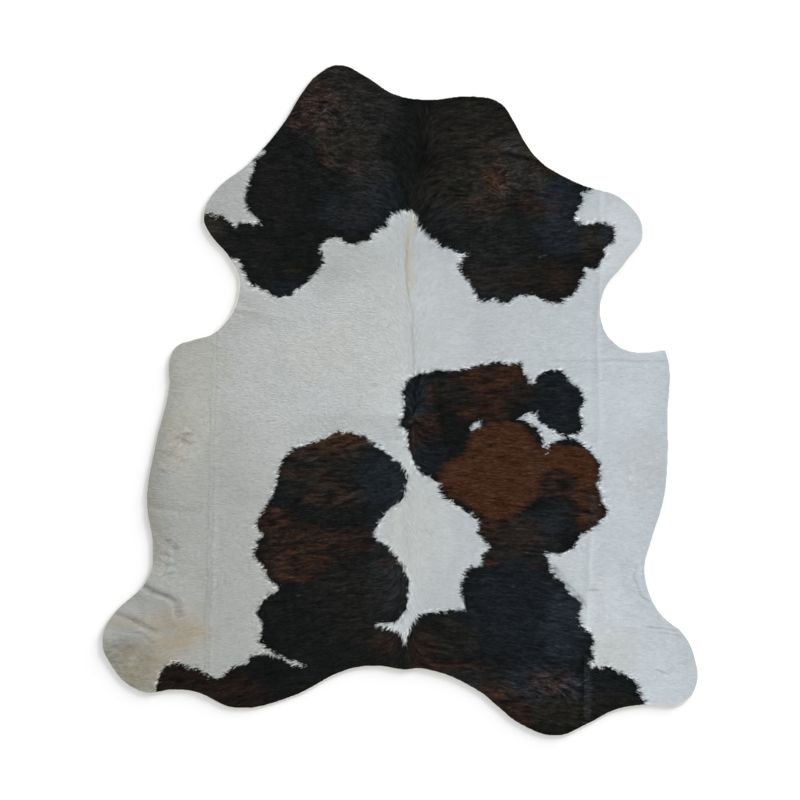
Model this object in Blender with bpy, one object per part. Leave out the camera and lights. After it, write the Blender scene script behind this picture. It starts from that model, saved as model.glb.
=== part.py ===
"""A cow's hide, tanned with its hair on and laid flat as a rug.

Metres, +Z up. The flesh side lies on Z = 0 with the hair side up, +Y runs along the
spine towards the neck, and the origin is under the middle of the hide's own box.
"""

import bpy

# ---- Driving dimensions -----------------------------------------------------------

SKIN_THICKNESS = 0.0020
HAIR_HEIGHT = 0.0035  # how high the hair stands when it lies down, combed outwards
EDGE_EASE = 0.0010  # how much the cut edge and the hair over it are rounded off
STEPS_PER_SPAN = 7  # straight steps between two places on the outline

# The cut edge, clockwise from the neck as seen from the hair side. `right` and
# `forward` are distances from the middle of the hide, right of the spine and
# towards the neck. `edge` says whether the knife ran round the place or turned at it.
OUTLINE = (
    # place                            right   forward  edge
    ("left neck lobe, tip",            -0.197,  1.075, "round"),
    ("left neck lobe, inner side",     -0.110,  1.038, "round"),
    ("neck, left of the dip",          -0.018,  0.981, "round"),
    ("neck, foot of the dip",           0.085,  0.964, "round"),
    ("right neck lobe, top",            0.229,  0.974, "round"),
    ("right neck lobe, corner",         0.318,  0.954, "round"),
    ("right neck lobe, outer side",     0.365,  0.891, "round"),
    ("right neck lobe, foot",           0.400,  0.826, "round"),
    ("right side of the neck",          0.448,  0.766, "round"),
    ("right side of the shoulder",      0.507,  0.727, "round"),
    ("right shoulder",                  0.584,  0.690, "round"),
    ("right foreleg, front",            0.715,  0.642, "round"),
    ("right foreleg, tip",              0.776,  0.536, "round"),
    ("right foreleg, back",             0.725,  0.450, "round"),
    ("right elbow, upper side",         0.650,  0.347, "round"),
    ("right elbow, lower side",         0.646,  0.248, "round"),
    ("right elbow, foot",               0.690,  0.181, "round"),
    ("right chest, before the corner",  0.757,  0.155, "round"),
    ("right chest, corner",             0.848,  0.162, "turned"),
    ("right flank, upper end",          0.861,  0.110, "round"),
    ("right flank, middle",             0.855, -0.050, "round"),
    ("right flank, swell",              0.856, -0.175, "round"),
    ("right flank, lower end",          0.842, -0.318, "round"),
    ("right groin, upper side",         0.802, -0.450, "round"),
    ("right groin",                     0.782, -0.533, "round"),
    ("right groin, lower side",         0.798, -0.619, "round"),
    ("right hind leg, front",           0.837, -0.686, "round"),
    ("right hind leg, swell",           0.906, -0.747, "round"),
    ("right hind leg, outer side",      0.946, -0.830, "round"),
    ("right hind leg, tip",             0.950, -0.905, "round"),
    ("right hind leg, heel",            0.908, -0.966, "round"),
    ("right hind leg, back",            0.781, -0.974, "round"),
    ("right rump lobe, outer side",     0.690, -0.990, "round"),
    ("right rump lobe, corner",         0.600, -1.035, "round"),
    ("right rump lobe, foot",           0.500, -1.073, "round"),
    ("right rump lobe, inner side",     0.379, -1.034, "round"),
    ("right rump lobe, bend",           0.306, -0.977, "round"),
    ("right of the tail",               0.248, -0.930, "round"),
    ("tail, right side",                0.072, -0.859, "round"),
    ("tail",                            0.011, -0.862, "round"),
    ("tail, left side",                -0.075, -0.850, "round"),
    ("left of the tail",               -0.168, -0.862, "round"),
    ("left rump lobe, inner side",     -0.350, -0.949, "round"),
    ("left rump lobe, foot",           -0.530, -0.984, "round"),
    ("left rump lobe, outer side",     -0.658, -0.933, "round"),
    ("left hind leg, back",            -0.725, -0.926, "round"),
    ("left hind leg, heel",            -0.830, -0.932, "round"),
    ("left hind leg, outer side",      -0.939, -0.827, "round"),
    ("left hind leg, tip",             -0.952, -0.750, "round"),
    ("left hind leg, front",           -0.922, -0.688, "round"),
    ("left groin, lower side",         -0.805, -0.563, "round"),
    ("left groin",                     -0.792, -0.478, "round"),
    ("left flank, lower end",          -0.811, -0.318, "round"),
    ("left flank, middle",             -0.784, -0.142, "round"),
    ("left flank, upper end",          -0.741,  0.040, "round"),
    ("left chest, side",               -0.738,  0.130, "round"),
    ("left chest, corner",             -0.714,  0.176, "round"),
    ("left chest, front",              -0.667,  0.194, "round"),
    ("left elbow, lower side",         -0.587,  0.226, "round"),
    ("left elbow",                     -0.517,  0.366, "round"),
    ("left elbow, upper side",         -0.546,  0.450, "round"),
    ("left foreleg, back",             -0.624,  0.549, "round"),
    ("left foreleg, tip",              -0.632,  0.590, "round"),
    ("left foreleg, front",            -0.594,  0.670, "round"),
    ("left shoulder",                  -0.483,  0.763, "round"),
    ("left side of the neck",          -0.373,  0.891, "round"),
    ("left neck lobe, outer side",     -0.312,  0.990, "round"),
    ("left neck lobe, outer corner",   -0.264,  1.045, "round"),
)

HANDLES = {"round": "AUTO", "turned": "VECTOR"}

# Finish: (red, green, blue, alpha) of the pale hair, which covers most of the hide.
HAIR_COLOUR = (0.62, 0.61, 0.57, 1.0)
HAIR_ROUGHNESS = 0.62


def clear_scene():
    for old in list(bpy.data.objects):
        bpy.data.objects.remove(old, do_unlink=True)


def new_collection(name):
    collection = bpy.data.collections.new(name)
    bpy.context.scene.collection.children.link(collection)
    return collection


def hair_on_hide():
    """The finish of the hair side, pale and softly shining."""
    material = bpy.data.materials.new("hair_on_hide")
    material.use_nodes = True
    shader = material.node_tree.nodes["Principled BSDF"]
    shader.inputs["Base Color"].default_value = HAIR_COLOUR
    shader.inputs["Roughness"].default_value = HAIR_ROUGHNESS
    shader.inputs["Metallic"].default_value = 0.0
    return material


def outline_curve(name, outline):
    """A closed flat curve through the places of the outline."""
    curve = bpy.data.curves.new(name, "CURVE")
    curve.dimensions = "2D"
    spline = curve.splines.new("BEZIER")
    spline.bezier_points.add(len(outline) - 1)
    for point, (_, right, forward, edge) in zip(spline.bezier_points, outline):
        point.co = (right, forward, 0.0)
        point.handle_left_type = HANDLES[edge]
        point.handle_right_type = HANDLES[edge]
    spline.use_cyclic_u = True
    return curve


def middle_of(obj):
    """The middle of the object's own box, across and along."""
    corners = [obj.matrix_world @ point.co for point in obj.to_mesh().vertices]
    obj.to_mesh_clear()
    across = [corner.x for corner in corners]
    along = [corner.y for corner in corners]
    return (min(across) + max(across)) / 2, (min(along) + max(along)) / 2


def make_hide(collection):
    """The one piece: skin and lying hair together, cut to the outline."""
    thickness = SKIN_THICKNESS + HAIR_HEIGHT
    curve = outline_curve("hide", OUTLINE)
    curve.resolution_u = STEPS_PER_SPAN
    curve.fill_mode = "BOTH"
    curve.extrude = thickness / 2 - EDGE_EASE
    curve.bevel_depth = EDGE_EASE
    curve.bevel_resolution = 0
    curve.offset = -EDGE_EASE
    curve.materials.append(hair_on_hide())
    hide = bpy.data.objects.new("hide", curve)
    collection.objects.link(hide)
    bpy.context.view_layer.update()
    middle_right, middle_forward = middle_of(hide)
    hide.location = (-middle_right, -middle_forward, thickness / 2)
    return hide


clear_scene()
make_hide(new_collection("cowhide_rug"))
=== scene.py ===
"""A cowhide rug lying hair side up: the tanned skin, the undercoat on it, and the coat lock by lock.

The cut edge is read off the frame. Patches, tints, folds, whorls and stains are laid out below, in
centimetres right of and forward of the hide's middle, as seen from above with the neck at the top.
"""

import bpy
import numpy as np
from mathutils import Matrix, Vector
from mathutils.geometry import delaunay_2d_cdt


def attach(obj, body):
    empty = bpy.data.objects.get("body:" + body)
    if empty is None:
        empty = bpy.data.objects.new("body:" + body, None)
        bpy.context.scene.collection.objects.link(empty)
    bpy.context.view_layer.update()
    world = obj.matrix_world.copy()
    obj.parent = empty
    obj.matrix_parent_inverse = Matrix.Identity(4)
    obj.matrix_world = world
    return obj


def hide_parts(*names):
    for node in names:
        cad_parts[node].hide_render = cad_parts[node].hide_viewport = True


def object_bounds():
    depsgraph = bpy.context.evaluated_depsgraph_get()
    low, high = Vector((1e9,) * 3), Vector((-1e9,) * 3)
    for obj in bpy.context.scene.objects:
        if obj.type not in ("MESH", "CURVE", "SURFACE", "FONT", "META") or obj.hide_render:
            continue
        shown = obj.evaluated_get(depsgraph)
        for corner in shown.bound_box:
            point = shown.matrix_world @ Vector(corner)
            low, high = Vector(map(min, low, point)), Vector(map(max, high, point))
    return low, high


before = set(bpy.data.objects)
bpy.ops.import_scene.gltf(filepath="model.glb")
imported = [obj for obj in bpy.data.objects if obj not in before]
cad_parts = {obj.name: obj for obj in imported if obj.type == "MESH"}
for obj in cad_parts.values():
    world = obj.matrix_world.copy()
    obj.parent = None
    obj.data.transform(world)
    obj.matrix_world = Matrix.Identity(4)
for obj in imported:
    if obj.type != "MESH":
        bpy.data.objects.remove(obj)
cad_low, cad_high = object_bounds()
hide_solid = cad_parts["hide"]

CM = 0.01
MM = 0.001

# ---- Driving sizes ----

SKIN = 2.0 * MM
RIM_ROUNDING = 0.6 * MM
UNDERCOAT_ABOVE_SKIN = 0.3 * MM
UNDERCOAT_SHADE = 0.8
LOCK_LENGTH = 15 * MM
LOCK_WIDTH = 1.8 * MM
COAT_DEPTH = 2.6 * MM
TUFT_WIDTH = 5.5 * MM
LOCKS_PER_SQUARE_METRE = 230_000

# ---- The hide's curls and waves ----

EDGE_CURL = 3.6 * MM
EDGE_CURL_CHANGE = 1.2 * MM
EDGE_CURL_REACH = 28 * MM
FLANK_SWELL = 7 * MM
FLANK_RISE = 40 * MM
FLANK_REACH = 150 * MM
WAVE_HEIGHT = 0.5 * MM
RIPPLE_HEIGHT = 0.12 * MM
TROUGH_TO_SWELL = 5

# ---- The photo's view and light; angles in degrees ----

SEEN_WIDTH = 2.56
LENS = 100
SENSOR = 36
VIEW_CENTRE = (-1.6 * MM, 1.6 * MM)
SUN_STRENGTH = 5.6
SUN_SPREAD = 25
SUN_HEIGHT = 13
SKY_STRENGTH = 0.85
FLOOR_SHADE = 0.81
UNDER_RUG = 0.2 * MM

# ---- Patches of dark hair, clockwise ----

NECK_PATCH = (
    # left side of the neck, down to the white notch behind the left foreleg
    (-44.6, 81.2), (-42.6, 79.2), (-45.9, 77.1), (-46.4, 74.8), (-47.5, 71), (-48.8, 65.5), (-48.8, 62.6),
    (-46.3, 59), (-44, 56.7), (-48.2, 56.7), (-50.6, 57),
    # over the top of the left foreleg and off its edge
    (-52.4, 55.9), (-53.6, 57), (-55.4, 58.3), (-58.6, 59.7), (-63, 59.2), (-68, 56), (-62, 46), (-57, 46),
    # underside of the left foreleg's band
    (-53.6, 45.3), (-51.4, 45.3), (-49.4, 41.1), (-46.9, 37), (-42.4, 35.4), (-40.2, 33), (-34.7, 33.3),
    (-32.2, 35.4), (-27.7, 39.5), (-25.1, 41.8), (-23.8, 45.5), (-25.1, 49.6),
    # up to the white peak on the spine
    (-20, 52), (-16.2, 50.4), (-10.7, 50.8), (-6.6, 53.8), (-3.4, 55.8), (-2.4, 58.8), (1.1, 59.6),
    (4.6, 59.3),
    # down the peak's right side
    (5.6, 54.6), (8.8, 51.3), (13, 48.9), (19.5, 46.8), (18, 44.5), (17.9, 42), (20, 38.9), (22.9, 34.4),
    (24, 31.8),
    # underside of the right lobe
    (26.7, 31.8), (29.5, 31.7), (33, 30.8), (36.3, 33.1), (42, 33.5), (46.2, 31.5), (49.6, 30.8), (52, 32.5),
    (54.2, 33.3), (56.5, 36.6), (56.6, 38.5), (58.7, 39.8), (57.4, 42.3),
    # right foreleg's finger
    (60, 42.4), (63, 42.8), (64.8, 46.6), (64.6, 48.4), (67.4, 50.4), (68.3, 52.6), (67.5, 55), (65.2, 56.6),
    (62, 57), (59, 56), (57.2, 57),
    # right shoulder
    (55.2, 58), (56, 60.8), (58, 64.8), (57.2, 66), (55, 67), (60.4, 67.5),
    # off the neck's edge
    (62, 80), (40, 102), (0, 112), (-35, 112), (-52, 92),
)
BACK_PATCH = (
    # top of the right lobe
    (4, 7.3), (8, 8.5), (11.7, 9.8), (15, 9), (20, 10.4), (25.4, 11.2), (29.3, 12.5), (33, 11.8),
    (37.8, 11.6), (38.9, 8.8), (40, 6.7), (41.2, 5.4), (42.6, 6.4), (43, 7.9), (46.5, 9.5), (50.5, 9.9),
    (52, 7.5), (55.2, 5), (57.4, 2.4),
    # down its right side
    (58.2, -0.8), (56.6, -2.6), (56.8, -5), (57.9, -8.5), (56.5, -10.7), (54.2, -10.8), (53.3, -12),
    (55.8, -12.8), (58.4, -14.6), (61.3, -17.4), (63, -20), (63.1, -25.4), (62.7, -27.2), (64.2, -32.5),
    (65.8, -36), (63.5, -38.4), (61.3, -40.5), (57.4, -42.7), (55.5, -46.2), (52, -48.6), (47, -49.2),
    (44.6, -48.4),
    # right rump
    (46.9, -51.7), (47.6, -54.9), (51.7, -58.4), (53.8, -62), (56.2, -63.8), (57.4, -66.5), (55.9, -69.6),
    (59.4, -73.8), (61.3, -77.3), (60.6, -79.2), (61.2, -81.6), (59.6, -84.6), (62, -84.8), (65.4, -85),
    (67.8, -86.3), (71.8, -87.7), (74.6, -89.8), (75.8, -93), (77.8, -97.3),
    # off the back edge
    (80, -106), (50, -115), (0, -105), (-60, -110), (-80, -104),
    # left hind leg's tongue
    (-77.6, -91.7), (-76.5, -87.2), (-72.8, -83.8), (-70.6, -83.8), (-64.2, -85.9), (-57.9, -89.1),
    (-53.6, -85.6), (-51.4, -85), (-49, -84.6), (-46.6, -81.8), (-43.8, -80.8), (-41, -81.2), (-38.2, -82.2),
    (-35.4, -83.7), (-32.2, -84.7), (-28.6, -84.7), (-35.4, -82.7), (-40.6, -80.1), (-42.6, -78.6),
    # up the left lobe's left side
    (-44.6, -77), (-43.4, -71.5), (-45.3, -67.7), (-42.4, -62.9), (-37.9, -60), (-41.8, -57), (-43, -53.3),
    (-46.2, -49.8), (-45, -44.8), (-43.2, -43), (-45.6, -40.5), (-43, -35), (-41.1, -31.8), (-38.9, -25.4),
    (-37.3, -19.7),
    # over its top
    (-33.4, -15.5), (-24.2, -12.3), (-19.4, -10.2), (-11.8, -11.1), (-8.2, -13), (-3.4, -17.4),
    (-0.6, -19.4), (1.6, -21.4),
    # down its right side to the foot of the white wedge
    (2.4, -26), (0.5, -31.8), (-3.8, -35.4), (-7, -40.2), (-7.2, -44), (-3, -46.6), (0.5, -51.7), (2.5, -58),
    (2.2, -65), (-0.6, -70.2), (-7.8, -71.4), (-3, -72.6), (0, -74), (1, -77), (1.3, -79.4),
    # up the wedge's right side
    (1.9, -76.6), (3.2, -71.6), (6.4, -68), (14.9, -67.4), (20.3, -66.2), (18.4, -62), (18.7, -57.4),
    (21.3, -53.4), (24.8, -53), (25.3, -49.6), (27.7, -47), (24.2, -43), (24, -38.4), (20, -35.4),
    (15, -32.6), (12.2, -30), (10.6, -25.6), (5.6, -22.2), (2.8, -14), (2.8, -10.2), (0.6, -7.5), (1.6, -3),
    (1.6, 3),
)
WHITE_MARKS = (
    # streak between the right lobe's two halves
    (
        (36.6, -6.2), (39, -4.8), (41, -3.8), (42.6, -5.4), (44.6, -7.4), (47, -9), (49.4, -10.6),
        (51.8, -11.6), (53.6, -11.3), (52.6, -11.9), (49.8, -12.9), (47.6, -13.2), (46.6, -14.6),
        (45.8, -17.6), (45.1, -13.6), (44.3, -10.6), (41.7, -8), (39.2, -6.5),
    ),
    # short streak beside it
    ((21.7, -8.6), (23.1, -7.2), (25.8, -6.5), (25, -7.5), (22.6, -9.7)),
)
# The plain brown part of the right lobe
BROWN_PATCH = (
    (22.6, -10.9), (25, -8.4), (28.6, -7.3), (37.4, -7.3), (41.3, -10.4), (44.6, -14.4), (46.5, -18.2),
    (47.4, -15), (51, -14.1), (55.6, -15), (60, -16.2), (62.9, -19.7), (63.2, -25.4), (60.6, -29.6),
    (57.6, -27), (55.4, -23.8), (52, -22.2), (48, -22.2), (45.4, -25.2), (44, -29.6), (40.8, -33),
    (37.4, -35.6), (33.8, -38.2), (28.8, -37.8), (24.9, -36), (19.8, -32.4), (15.8, -30.2), (13.4, -27.8),
    (12.6, -25.4), (13.8, -22.2), (15.4, -19.6), (19, -18.2), (21.8, -16.2), (22.6, -13.4),
)

# ---- Colours of the hair and the leather (red, green, blue out of 255) ----

BLACK = (18, 20, 20)
JET = (8, 9, 9)
BROWN = (67, 40, 24)
RUST = (59, 39, 30)
OLIVE = (34, 33, 29)
DUN = (42, 40, 36)
GREY = (33, 34, 34)
# Blue-greys laid on the black hair as a painted bluish sheen
STEEL = (26, 32, 37)
SLATE = (35, 42, 50)
ASH = (62, 64, 68)
# Left to right the pale hair goes from darker and warmer to brighter and cooler:
# partly its own tone, partly painted light falling from the right.
PALE_LEFT = (174, 176, 173)
PALE_INNER = (189, 192, 191)
PALE_RIGHT = (208, 216, 221)
CHALK = (228, 232, 235)
PEWTER = (130, 130, 118)
LILAC = (140, 135, 142)
CREAM = (200, 196, 176)
TAN = (166, 148, 112)
DUST = (120, 116, 104)
LEATHER = (238, 234, 224)

# Tints in the dark hair: colour, middle right and forward, half width, half length, strength, and how far
# each is broken into streaks
DARK_TINTS = (
    # neck, left lobe
    (DUN, -18, 94.5, 17, 15, 0.5, 0.5),
    (DUN, -25, 101, 9, 9, 0.4, 0.5),
    (DUN, -8, 99, 7, 5, 0.35, 0.4),
    (RUST, -26, 99.5, 4.5, 4.5, 0.4, 0.6),
    (RUST, -28.5, 94.5, 5, 3.5, 0.45, 0.8),
    (RUST, -33.5, 90, 4, 3, 0.35, 0.8),
    (RUST, -22.5, 95, 3.5, 3, 0.3, 0.8),
    (RUST, -25, 87, 4.5, 4.5, 0.25, 0.8),
    (RUST, -23, 79, 3.5, 5.5, 0.38, 0.8),
    (OLIVE, -16, 82, 9, 8, 0.9, 0.8),
    (RUST, -11, 74.2, 6, 3, 0.7, 0.7),
    (GREY, -8, 92, 9, 8, 0.5, 0.3),
    (GREY, -9, 70, 8, 9, 0.9, 0.3),
    (STEEL, -14, 61, 13, 7, 0.7, 0.2),
    (GREY, -14, 61, 9, 6, 0.5, 0.3),
    (STEEL, -4, 66, 6, 5, 0.6, 0.3),
    (OLIVE, -40, 68, 9, 14, 0.15, 0.3),
    # neck, along the spine and to its right
    # painted shade along the dip down the neck's spine
    (JET, 8.5, 78, 3.4, 22, 0.7, 0),
    (JET, 13, 85, 5, 8, 0.25, 0.3),
    (BROWN, 11.8, 74, 2.5, 8, 0.12, 0.8),
    (OLIVE, 23, 87, 17, 12, 0.8, 0.5),
    (OLIVE, 20, 66, 15, 12, 0.9, 0.8),
    (STEEL, 13, 57, 8, 5, 0.4, 0.3),
    (DUN, 30, 79, 10, 9, 0.6, 0.6),
    (GREY, 47, 60, 8, 9, 0.7, 0.3),
    (GREY, 30, 52, 16, 12, 0.4, 0.4),
    (BROWN, 28.5, 81, 4, 2.5, 0.15, 0.8),
    (DUN, 31, 71, 9, 8, 0.8, 0.5),
    (RUST, 31, 71.2, 5.5, 5, 0.95, 0.9),
    (BROWN, 30.5, 71, 4.5, 4, 0.25, 0.9),
    (RUST, 28, 63, 7, 3.5, 0.3, 1),
    (RUST, 41.5, 63, 4, 3, 0.35, 0.7),
    (RUST, 47.8, 74.4, 6, 2.4, 0.7, 0.5),
    (ASH, 38, 81.5, 5, 4.5, 0.6, 0.6),
    (DUN, 38, 79, 6, 8, 0.9, 0.6),
    (ASH, 35.4, 80.8, 3, 2.5, 0.4, 0.4),
    (DUN, 41, 72, 7, 8, 0.9, 0.8),
    (ASH, 38, 72, 9, 8, 0.08, 0.8),
    (SLATE, 51, 65, 7, 7, 0.7, 0.2),
    (BROWN, 47, 61, 5, 2.5, 0.24, 0.7),
    (SLATE, 51, 53, 9, 7, 0.6, 0.3),
    (DUN, 61, 51, 5, 6, 0.7, 0.4),
    (SLATE, 66, 54, 2.4, 4.5, 0.8, 0.3),
    (GREY, 32, 37, 10, 6, 0.8, 0.4),
    (BROWN, 28.5, 40, 7, 3.5, 0.3, 0.7),
    (BROWN, 38, 40, 5, 3.5, 0.25, 0.6),
    (OLIVE, 48, 39, 10, 6, 0.4, 0.5),
    (BROWN, 49.5, 39, 5, 4.5, 0.14, 0.8),
    (OLIVE, 21, 41, 6, 6, 0.6, 0.5),
    (GREY, 30.5, 44, 10.5, 9, 0.75, 0.5),
    # left foreleg
    (DUN, -61, 55, 5, 4.5, 0.8, 0.3),
    (OLIVE, -50, 47, 15, 9, 0.12, 0.4),
    (STEEL, -38, 36, 5, 3, 0.5, 0.2),
    (BROWN, -33.8, 41.8, 3.5, 0.8, 0.2, 0.4),
    # right lobe, from the spine outwards
    (SLATE, 5.5, 1, 5, 8, 0.3, 0.7),
    (BROWN, 10.5, 2, 2.5, 3.5, 0.35, 0.8),
    (DUN, 7.5, -6, 4, 2.5, 0.3, 0.8),
    (BROWN, 8, -9.5, 5, 6, 0.26, 0.9),
    (STEEL, 9.5, -17.5, 6, 6, 0.6, 0.3),
    (BROWN, 4.2, -15, 1.8, 6, 0.14, 0.3),
    (OLIVE, 17.5, 3, 8, 4.5, 0.6, 0.8),
    (BROWN, 29, 8.3, 13, 4.5, 0.5, 0.6),
    (BROWN, 32, 2.5, 12, 3, 0.4, 1),
    (BROWN, 26, -3, 10, 3.5, 0.4, 0.8),
    (OLIVE, 40, 3, 7, 4, 0.7, 0.6),
    (STEEL, 51, -0.5, 9, 12, 0.8, 0.1),
    # mixed part below the brown
    (STEEL, 50, -32, 7, 6, 0.3, 0.8),
    (BROWN, 51, -26.5, 7, 5, 0.3, 1.6),
    (DUN, 60, -34, 4, 7, 0.6, 0.6),
    (BROWN, 60, -31, 5.6, 11, 0.75, 0.9),
    (GREY, 50, -38, 7, 5, 0.6, 0.6),
    # painted highlight on the lit side of the right shipping fold
    (ASH, 61.8, -34.5, 0.8, 6, 0.5, 0.3),
    (SLATE, 46, -39.5, 10, 5, 0.4, 0.6),
    (BROWN, 34, -41, 12, 4, 0.6, 1.3),
    (GREY, 38, -46, 13, 8, 0.9, 0.6),
    (BROWN, 36, -46, 11, 6, 0.15, 1),
    (BROWN, 28.6, -51.5, 3.5, 1.3, 0.5, 0.6),
    (BROWN, 43, -52.3, 3.2, 1.3, 0.45, 0.6),
    (BROWN, 46.2, -58.4, 3, 1.4, 0.5, 0.6),
    # right rump
    (STEEL, 38, -67, 22, 17, 0.9, 0.3),
    (SLATE, 53, -72, 8, 13, 0.8, 0.3),
    (PALE_RIGHT, 27.6, -57, 1.6, 1.4, 0.05, 1.5),
    (OLIVE, 15, -76, 12, 7, 0.6, 0.9),
    (BROWN, 6.2, -80, 5, 6, 0.2, 0.7),
    (BROWN, 16, -85.4, 13, 2.6, 0.3, 1.2),
    (GREY, 24, -92, 15, 8, 0.7, 0.5),
    (DUN, 34, -92, 8, 5, 0.25, 0.8),
    (BROWN, 31.5, -94, 10, 3, 0.35, 1.2),
    (BROWN, 40, -100, 6.5, 4.5, 0.35, 0.8),
    (SLATE, 48, -92, 13, 7, 0.5, 1),
    (SLATE, 42, -88.5, 8, 6, 0.6, 0.5),
    (ASH, 50, -91, 10, 5, 0.08, 1.3),
    (BROWN, 47, -90, 8, 5, 0.25, 1.3),
    (OLIVE, 51, -100, 11, 6, 0.9, 0.6),
    # painted shade and painted highlight on the two sides of the fold by the right rump
    (JET, 58.4, -95, 0.6, 11, 1, 0),
    (ASH, 59.7, -95, 0.6, 11, 0.9, 0.3),
    (STEEL, 65, -89, 10, 6, 0.3, 0.3),
    (OLIVE, 67, -97, 11, 5, 0.35, 0.4),
    # left lobe
    (BROWN, -23.8, -12.8, 14, 4, 0.85, 0.9),
    (BROWN, -25.8, -17.4, 12, 1.8, 0.6, 1.3),
    (BROWN, -29, -23.3, 10, 1.8, 0.55, 1.3),
    (BROWN, -23, -26.7, 6, 1.6, 0.5, 1.2),
    (OLIVE, -20, -24, 18, 12, 0.5, 1),
    (BROWN, -22, -31, 10, 3, 0.18, 1.4),
    (GREY, -33, -20, 7, 6, 0.4, 0.4),
    (STEEL, -6, -26, 9, 10, 0.9, 0.2),
    (STEEL, -5, -40, 6, 5, 0.6, 0.2),
    (BROWN, -40, -38.5, 6.5, 5, 0.35, 0.8),
    (BROWN, -30.5, -47, 15, 7, 0.27, 1),
    (BROWN, -32, -53, 11, 4.5, 0.23, 0.9),
    (BROWN, -35, -56.8, 9, 1.8, 0.3, 0.9),
    (RUST, -14.5, -44.5, 8, 5, 0.2, 0.9),
    # painted sheen on the left lobe's dark hair
    (ASH, -4, -57, 8, 12, 0.2, 0.4),
    (BROWN, -4, -52, 4, 2, 0.2, 0.6),
    (OLIVE, -17, -62, 14, 10, 0.35, 0.9),
    (RUST, -5, -78, 5, 4.5, 0.25, 0.6),
    (OLIVE, -13, -74, 9, 5, 0.3, 0.8),
    (ASH, -31.8, -62.6, 0.35, 0.35, 1, 0),
    # left hind leg's tongue
    (JET, -40, -86, 10, 4, 0.4, 0),
    (JET, -68, -86.5, 12, 5, 0.5, 0),
    (JET, -44, -78, 6, 6, 0.5, 0),
    (JET, -60, -92, 22, 9, 0.3, 0),
    (BROWN, -50, -94, 9, 5, 0.12, 0.5),
    (BROWN, -64, -90, 16, 7, 0.11, 0.5),
    # speck on the right shoulder
    (PALE_LEFT, 45.3, 45.9, 0.35, 0.35, 0.3, 0),
)
# Stains and painted shade in the pale hair, in the same order
PALE_TINTS = (
    # painted shade: greyer towards the left and lower left, away from the light
    (PEWTER, -60, -55, 32, 52, 0.24, 0.1),
    (PEWTER, -67, 14, 12, 22, 0.12, 0.1),
    (PEWTER, -64, 12, 9, 9, 0.1, 0.1),
    (CHALK, 9, 22, 15, 26, 0.24, 0.1),
    (CHALK, 12, -42, 6, 14, 0.2, 0.1),
    (PEWTER, -1, -34, 5, 26, 0.16, 0.3),
    (CHALK, -3, 1, 8, 9, 0.12, 0.1),
    (CHALK, 66, -2, 10, 10, 0.18, 0.1),
    (CHALK, 53, -52, 8, 8, 0.16, 0.2),
    (PEWTER, 59, -38, 6, 5, 0.12, 0.2),
    (PEWTER, -16, -9, 20, 5, 0.14, 0.2),
    (PEWTER, -17, 45, 14, 8, 0.14, 0.2),
    (CHALK, 74, 50, 16, 17, 0.42, 0.1),
    (CHALK, 65, -66, 8, 14, 0.26, 0.1),
    (LILAC, -59, 65, 11, 13, 0.22, 0.1),
    (PEWTER, -89, -87, 14, 12, 0.86, 0.4),
    (PEWTER, -52, 28, 9, 7, 0.15, 0.1),
    (PEWTER, -24, 38, 7, 6, 0.08, 0.1),
    (PEWTER, -83, -8, 6, 9, 0.1, 0.1),
    (CREAM, 3, 45, 1.4, 16, 0.65, 0.6),
    (CREAM, -8, 20, 16, 26, 0.12, 0.2),
    (CREAM, -26, 15, 12, 10, 0.12, 0.2),
    (CREAM, 6, -42, 10, 16, 0.15, 0.3),
    (CREAM, -70, 5, 14, 30, 0.2, 0.2),
    (TAN, -72.5, -73, 10.5, 9, 0.38, 0.4),
    (TAN, -67.5, -77, 7, 6, 0.2, 0.3),
    (TAN, -81, -85, 12, 8, 0.26, 0.5),
    (TAN, -88, -70.5, 6, 3, 0.3, 0.3),
    (TAN, -71, -10, 5.5, 8, 0.16, 0.6),
    (TAN, -75, -18, 4, 5, 0.14, 0.5),
    (TAN, -79, -36, 3.5, 10, 0.18, 0.2),
    (TAN, -76, -49, 3.5, 7, 0.14, 0.4),
    (TAN, 78, -20, 7, 14, 0.12, 0.3),
    (CREAM, 69, -80, 9, 8, 0.2, 0.2),
    (DUST, -40, -6.8, 0.45, 0.4, 0.6, 0),
    (DUST, -8.5, 5, 0.45, 0.4, 0.5, 0),
    (DUST, -1.4, -11.7, 0.5, 0.4, 0.5, 0),
    (DUST, 8.8, -43, 0.6, 0.6, 0.4, 0),
)

# ---- Folds, partings and painted shade ----

ACROSS_RIGHT_FLANK = ((48, 12.6), (66, 12.6), (86, 12.4))
ABOVE_RIGHT_HIND_LEG = ((74.6, -53), (73.8, -56.4), (75, -59), (76, -61.6), (79, -64))
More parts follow.
